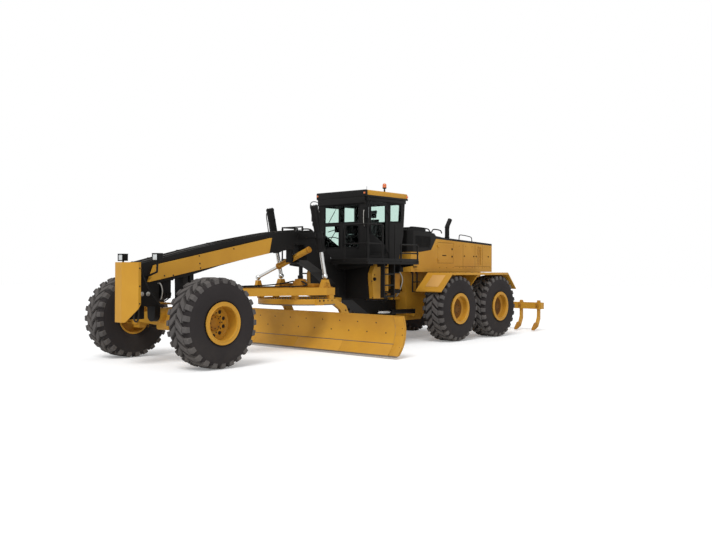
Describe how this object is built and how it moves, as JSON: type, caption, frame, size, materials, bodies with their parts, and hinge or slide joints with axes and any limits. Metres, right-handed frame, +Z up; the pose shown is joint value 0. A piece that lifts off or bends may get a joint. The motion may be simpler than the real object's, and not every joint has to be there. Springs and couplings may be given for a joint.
{
  "type": "motor grader",
  "caption": "Large articulated motor grader with tandem rear drive, leaning front wheels, drawbar, turning circle, tipping blade, cab with walkways and a rear ripper.",
  "frame": {"origin": "centre of the bounding box at the ground, under the machine", "axes": "+X forward along the machine, +Y to the driver's left, +Z up"},
  "size_m": [16, 7.315, 4.828],
  "materials": {
    "ochre_paint": "satin ochre paint",
    "black_paint": "satin black paint",
    "tyre_rubber": "matte rubber",
    "dark_steel": "worn steel",
    "rod_chrome": "polished rod",
    "cab_glass": "pale tinted glass",
    "seat_fabric": "woven seat cloth"
  },
  "bodies": {
    "rear_frame": {"rear_frame": "ochre_paint", "engine_block": "black_paint", "hood_shell": "ochre_paint", "hood_deck": "black_paint", "stacks": "black_paint"},
    "front_frame": {"front_frame": "black_paint", "front_panels": "ochre_paint", "cab_shell": "black_paint", "cab_glass": "cab_glass", "cab_roof": "ochre_paint", "seat_console": "seat_fabric", "platform": "black_paint", "side_tanks": "ochre_paint"},
    "front_axle": {"front_axle": "ochre_paint"},
    "lean_bar": {"lean_bar": "ochre_paint"},
    "tie_rod_ball": {"tie_rod_ball": "dark_steel"},
    "tie_rod": {"tie_rod": "dark_steel"},
    "drawbar_swivel": {"drawbar_swivel": "dark_steel"},
    "drawbar": {"drawbar": "ochre_paint"},
    "circle": {"circle": "ochre_paint"},
    "blade_carrier": {"blade_carrier": "ochre_paint"},
    "moldboard": {"moldboard": "ochre_paint"},
    "shift_yoke": {"shift_yoke": "ochre_paint"},
    "shift_barrel": {"shift_barrel": "ochre_paint"},
    "shift_rod": {"shift_rod": "rod_chrome"},
    "ripper": {"ripper": "ochre_paint"},
    "ripper_barrels": {"ripper_barrels": "black_paint"},
    "ripper_rods": {"ripper_rods": "rod_chrome"},
    "tandem_left": {"tandem_left": "ochre_paint"},
    "knuckle_left": {"knuckle_left": "ochre_paint"},
    "lean_yoke_left": {"lean_yoke_left": "ochre_paint"},
    "wheel_front_left": {"tyre_front_left": "tyre_rubber", "rim_front_left": "ochre_paint"},
    "wheel_middle_left": {"tyre_middle_left": "tyre_rubber", "rim_middle_left": "ochre_paint"},
    "wheel_rear_left": {"tyre_rear_left": "tyre_rubber", "rim_rear_left": "ochre_paint"},
    "engine_door_left": {"engine_door_left": "ochre_paint"},
    "cab_door_left": {"cab_door_left": "black_paint", "door_glass_left": "cab_glass"},
    "hinge_barrel_left": {"hinge_barrel_left": "black_paint"},
    "hinge_rod_left": {"hinge_rod_left": "rod_chrome"},
    "lift_barrel_left": {"lift_barrel_left": "black_paint"},
    "lift_rod_left": {"lift_rod_left": "rod_chrome"},
    "tandem_right": {"tandem_right": "ochre_paint"},
    "knuckle_right": {"knuckle_right": "ochre_paint"},
    "lean_yoke_right": {"lean_yoke_right": "ochre_paint"},
    "wheel_front_right": {"tyre_front_right": "tyre_rubber", "rim_front_right": "ochre_paint"},
    "wheel_middle_right": {"tyre_middle_right": "tyre_rubber", "rim_middle_right": "ochre_paint"},
    "wheel_rear_right": {"tyre_rear_right": "tyre_rubber", "rim_rear_right": "ochre_paint"},
    "engine_door_right": {"engine_door_right": "ochre_paint"},
    "cab_door_right": {"cab_door_right": "black_paint", "door_glass_right": "cab_glass"},
    "hinge_barrel_right": {"hinge_barrel_right": "black_paint"},
    "hinge_rod_right": {"hinge_rod_right": "rod_chrome"},
    "lift_barrel_right": {"lift_barrel_right": "black_paint"},
    "lift_rod_right": {"lift_rod_right": "rod_chrome"}
  },
  "joints": [
    {"name": "articulation", "type": "hinge", "parent": "rear_frame", "child": "front_frame", "pos_m": [-1.43, 0, 1], "axis": [0, 0, 1], "range_deg": [-25, 25]},
    {"name": "tandem_pivot_left", "type": "hinge", "parent": "rear_frame", "child": "tandem_left", "pos_m": [-3.578, 1.125, 1.005], "axis": [0, 1, 0], "range_deg": [-15, 15]},
    {"name": "wheel_spin_front_left", "type": "hinge", "parent": "knuckle_left", "child": "wheel_front_left", "pos_m": [6.7, 1.701, 1.005], "axis": [0, 1, 0], "continuous": true},
    {"name": "wheel_spin_middle_left", "type": "hinge", "parent": "tandem_left", "child": "wheel_middle_left", "pos_m": [-2.421, 1.701, 1.005], "axis": [0, 1, 0], "continuous": true},
    {"name": "wheel_spin_rear_left", "type": "hinge", "parent": "tandem_left", "child": "wheel_rear_left", "pos_m": [-4.735, 1.701, 1.005], "axis": [0, 1, 0], "continuous": true},
    {"name": "engine_door_left", "type": "hinge", "parent": "rear_frame", "child": "engine_door_left", "pos_m": [-2.78, 0.968, 2.7], "axis": [0, 0, -1], "range_deg": [0, 90]},
    {"name": "cab_door_left", "type": "hinge", "parent": "front_frame", "child": "cab_door_left", "pos_m": [-0.29, 0.958, 3.3], "axis": [0, 0, 1], "range_deg": [0, 65]},
    {"name": "tandem_pivot_right", "type": "hinge", "parent": "rear_frame", "child": "tandem_right", "pos_m": [-3.578, -1.125, 1.005], "axis": [0, 1, 0], "range_deg": [-15, 15]},
    {"name": "wheel_spin_front_right", "type": "hinge", "parent": "knuckle_right", "child": "wheel_front_right", "pos_m": [6.7, -1.701, 1.005], "axis": [0, 1, 0], "continuous": true},
    {"name": "wheel_spin_middle_right", "type": "hinge", "parent": "tandem_right", "child": "wheel_middle_right", "pos_m": [-2.421, -1.701, 1.005], "axis": [0, 1, 0], "continuous": true},
    {"name": "wheel_spin_rear_right", "type": "hinge", "parent": "tandem_right", "child": "wheel_rear_right", "pos_m": [-4.735, -1.701, 1.005], "axis": [0, 1, 0], "continuous": true},
    {"name": "engine_door_right", "type": "hinge", "parent": "rear_frame", "child": "engine_door_right", "pos_m": [-2.78, -0.968, 2.7], "axis": [0, 0, 1], "range_deg": [0, 90]},
    {"name": "cab_door_right", "type": "hinge", "parent": "front_frame", "child": "cab_door_right", "pos_m": [-0.29, -0.958, 3.3], "axis": [0, 0, -1], "range_deg": [0, 65]},
    {"name": "axle_oscillation", "type": "hinge", "parent": "front_frame", "child": "front_axle", "pos_m": [6.7, 0, 1.12], "axis": [1, 0, 0], "range_deg": [-16, 16]},
    {"name": "lean_left", "type": "hinge", "parent": "front_axle", "child": "lean_yoke_left", "pos_m": [6.7, 1.05, 1.005], "axis": [-1, 0, 0], "range_deg": [-18, 18]},
    {"name": "lean_right", "type": "hinge", "parent": "front_axle", "child": "lean_yoke_right", "pos_m": [6.7, -1.05, 1.005], "axis": [-1, 0, 0], "range_deg": [-18, 18]},
    {"name": "lean_bar", "type": "hinge", "parent": "lean_yoke_left", "child": "lean_bar", "pos_m": [6.55, 1.05, 1.365], "axis": [-1, 0, 0], "range_deg": [-18, 18]},
    {"name": "steer_left", "type": "hinge", "parent": "lean_yoke_left", "child": "knuckle_left", "pos_m": [6.7, 1.3, 1.005], "axis": [0, 0, 1], "range_deg": [-47.5, 47.5]},
    {"name": "steer_right", "type": "hinge", "parent": "lean_yoke_right", "child": "knuckle_right", "pos_m": [6.7, -1.3, 1.005], "axis": [0, 0, 1], "range_deg": [-47.5, 47.5]},
    {"name": "tie_rod_turn", "type": "hinge", "parent": "knuckle_left", "child": "tie_rod_ball", "pos_m": [6.37, 1.3, 0.765], "axis": [0, 0, 1], "range_deg": [-47.5, 47.5]},
    {"name": "tie_rod_tilt", "type": "hinge", "parent": "tie_rod_ball", "child": "tie_rod", "pos_m": [6.37, 1.3, 0.765], "axis": [-1, 0, 0], "range_deg": [-18, 18]},
    {"name": "drawbar_yaw", "type": "hinge", "parent": "front_frame", "child": "drawbar_swivel", "pos_m": [5.95, 0, 1.56], "axis": [0, 0, -1], "range_deg": [-8, 8]},
    {"name": "drawbar_pitch", "type": "hinge", "parent": "drawbar_swivel", "child": "drawbar", "pos_m": [5.95, 0, 1.56], "axis": [0, 1, 0], "range_deg": [-6, 4]},
    {"name": "circle_turn", "type": "hinge", "parent": "drawbar", "child": "circle", "pos_m": [2.38, 0, 1.32], "axis": [0, 0, 1], "range_deg": [-50, 50]},
    {"name": "blade_tip", "type": "hinge", "parent": "circle", "child": "blade_carrier", "pos_m": [2.08, 0, 0.43], "axis": [0, 1, 0], "range_deg": [-5, 40]},
    {"name": "blade_side_shift", "type": "slide", "parent": "blade_carrier", "child": "moldboard", "axis": [0, 1, 0], "range_m": [-0.6, 0.6]},
    {"name": "lift_swing_left", "type": "hinge", "parent": "front_frame", "child": "lift_barrel_left", "pos_m": [2.537, 0.87, 3.1], "axis": [1, 0, 0], "range_deg": [-27, 27]},
    {"name": "lift_rod_left", "type": "slide", "parent": "lift_barrel_left", "child": "lift_rod_left", "axis": [0.2275, 0, 0.9738], "range_m": [-0.4, 0.27]},
    {"name": "lift_swing_right", "type": "hinge", "parent": "front_frame", "child": "lift_barrel_right", "pos_m": [2.537, -0.87, 3.1], "axis": [1, 0, 0], "range_deg": [-27, 27]},
    {"name": "lift_rod_right", "type": "slide", "parent": "lift_barrel_right", "child": "lift_rod_right", "axis": [0.2275, 0, 0.9738], "range_m": [-0.4, 0.27]},
    {"name": "shift_yoke_swing", "type": "hinge", "parent": "front_frame", "child": "shift_yoke", "pos_m": [2.66, 0, 2.48], "axis": [1, 0, 0], "range_deg": [-6.5, 6.5]},
    {"name": "shift_barrel_swing", "type": "hinge", "parent": "shift_yoke", "child": "shift_barrel", "pos_m": [2.66, 0, 2.48], "axis": [1, 0, 0], "range_deg": [-10, 14]},
    {"name": "shift_rod", "type": "slide", "parent": "shift_barrel", "child": "shift_rod", "axis": [0, -0.9369, -0.3497], "range_m": [-0.44, 0.44]},
    {"name": "hinge_barrel_left", "type": "hinge", "parent": "rear_frame", "child": "hinge_barrel_left", "pos_m": [-1.85, 0.7, 0.905], "axis": [0, 0, 1], "range_deg": [-16, 16]},
    {"name": "hinge_rod_left", "type": "slide", "parent": "hinge_barrel_left", "child": "hinge_rod_left", "axis": [0.9868, -0.1621, 0], "range_m": [-0.28, 0.28]},
    {"name": "hinge_barrel_right", "type": "hinge", "parent": "rear_frame", "child": "hinge_barrel_right", "pos_m": [-1.85, -0.7, 0.905], "axis": [0, 0, 1], "range_deg": [-16, 16]},
    {"name": "hinge_rod_right", "type": "slide", "parent": "hinge_barrel_right", "child": "hinge_rod_right", "axis": [0.9868, 0.1621, 0], "range_m": [-0.28, 0.28]},
    {"name": "ripper_lift", "type": "hinge", "parent": "rear_frame", "child": "ripper", "pos_m": [-6.06, 0, 0.9], "axis": [0, 1, 0], "range_deg": [-12, 20]},
    {"name": "ripper_barrels", "type": "hinge", "parent": "rear_frame", "child": "ripper_barrels", "pos_m": [-6.08, 0, 1.7], "axis": [0, 1, 0], "range_deg": [-9, 15]},
    {"name": "ripper_rods", "type": "slide", "parent": "ripper_barrels", "child": "ripper_rods", "axis": [-0.875, 0, -0.4841], "range_m": [-0.26, 0.16]}
  ],
  "couplings": [
    {"joint": "lean_right", "follows": "lean_left", "ratio": 1},
    {"joint": "lean_bar", "follows": "lean_left", "ratio": -1},
    {"joint": "steer_right", "follows": "steer_left", "ratio": 1},
    {"joint": "tie_rod_turn", "follows": "steer_left", "ratio": -1},
    {"joint": "tie_rod_tilt", "follows": "lean_left", "ratio": -0.808},
    {"joint": "lift_swing_left", "follows": "drawbar_yaw", "ratio": 3.336},
    {"joint": "lift_rod_left", "follows": "drawbar_pitch", "m_per_rad": 3.78},
    {"joint": "lift_swing_right", "follows": "drawbar_yaw", "ratio": 3.336},
    {"joint": "lift_rod_right", "follows": "drawbar_pitch", "m_per_rad": 3.78},
    {"joint": "shift_yoke_swing", "follows": "drawbar_yaw", "ratio": 0.759},
    {"joint": "shift_barrel_swing", "follows": "drawbar_pitch", "ratio": -2.3},
    {"joint": "shift_rod", "follows": "drawbar_yaw", "m_per_rad": -3.082},
    {"joint": "hinge_barrel_left", "follows": "articulation", "ratio": 0.6279},
    {"joint": "hinge_rod_left", "follows": "articulation", "m_per_rad": -0.62265},
    {"joint": "hinge_barrel_right", "follows": "articulation", "ratio": 0.6279},
    {"joint": "hinge_rod_right", "follows": "articulation", "m_per_rad": 0.62265},
    {"joint": "ripper_barrels", "follows": "ripper_lift", "ratio": 0.7348},
    {"joint": "ripper_rods", "follows": "ripper_lift", "m_per_rad": -0.7097}
  ]
}
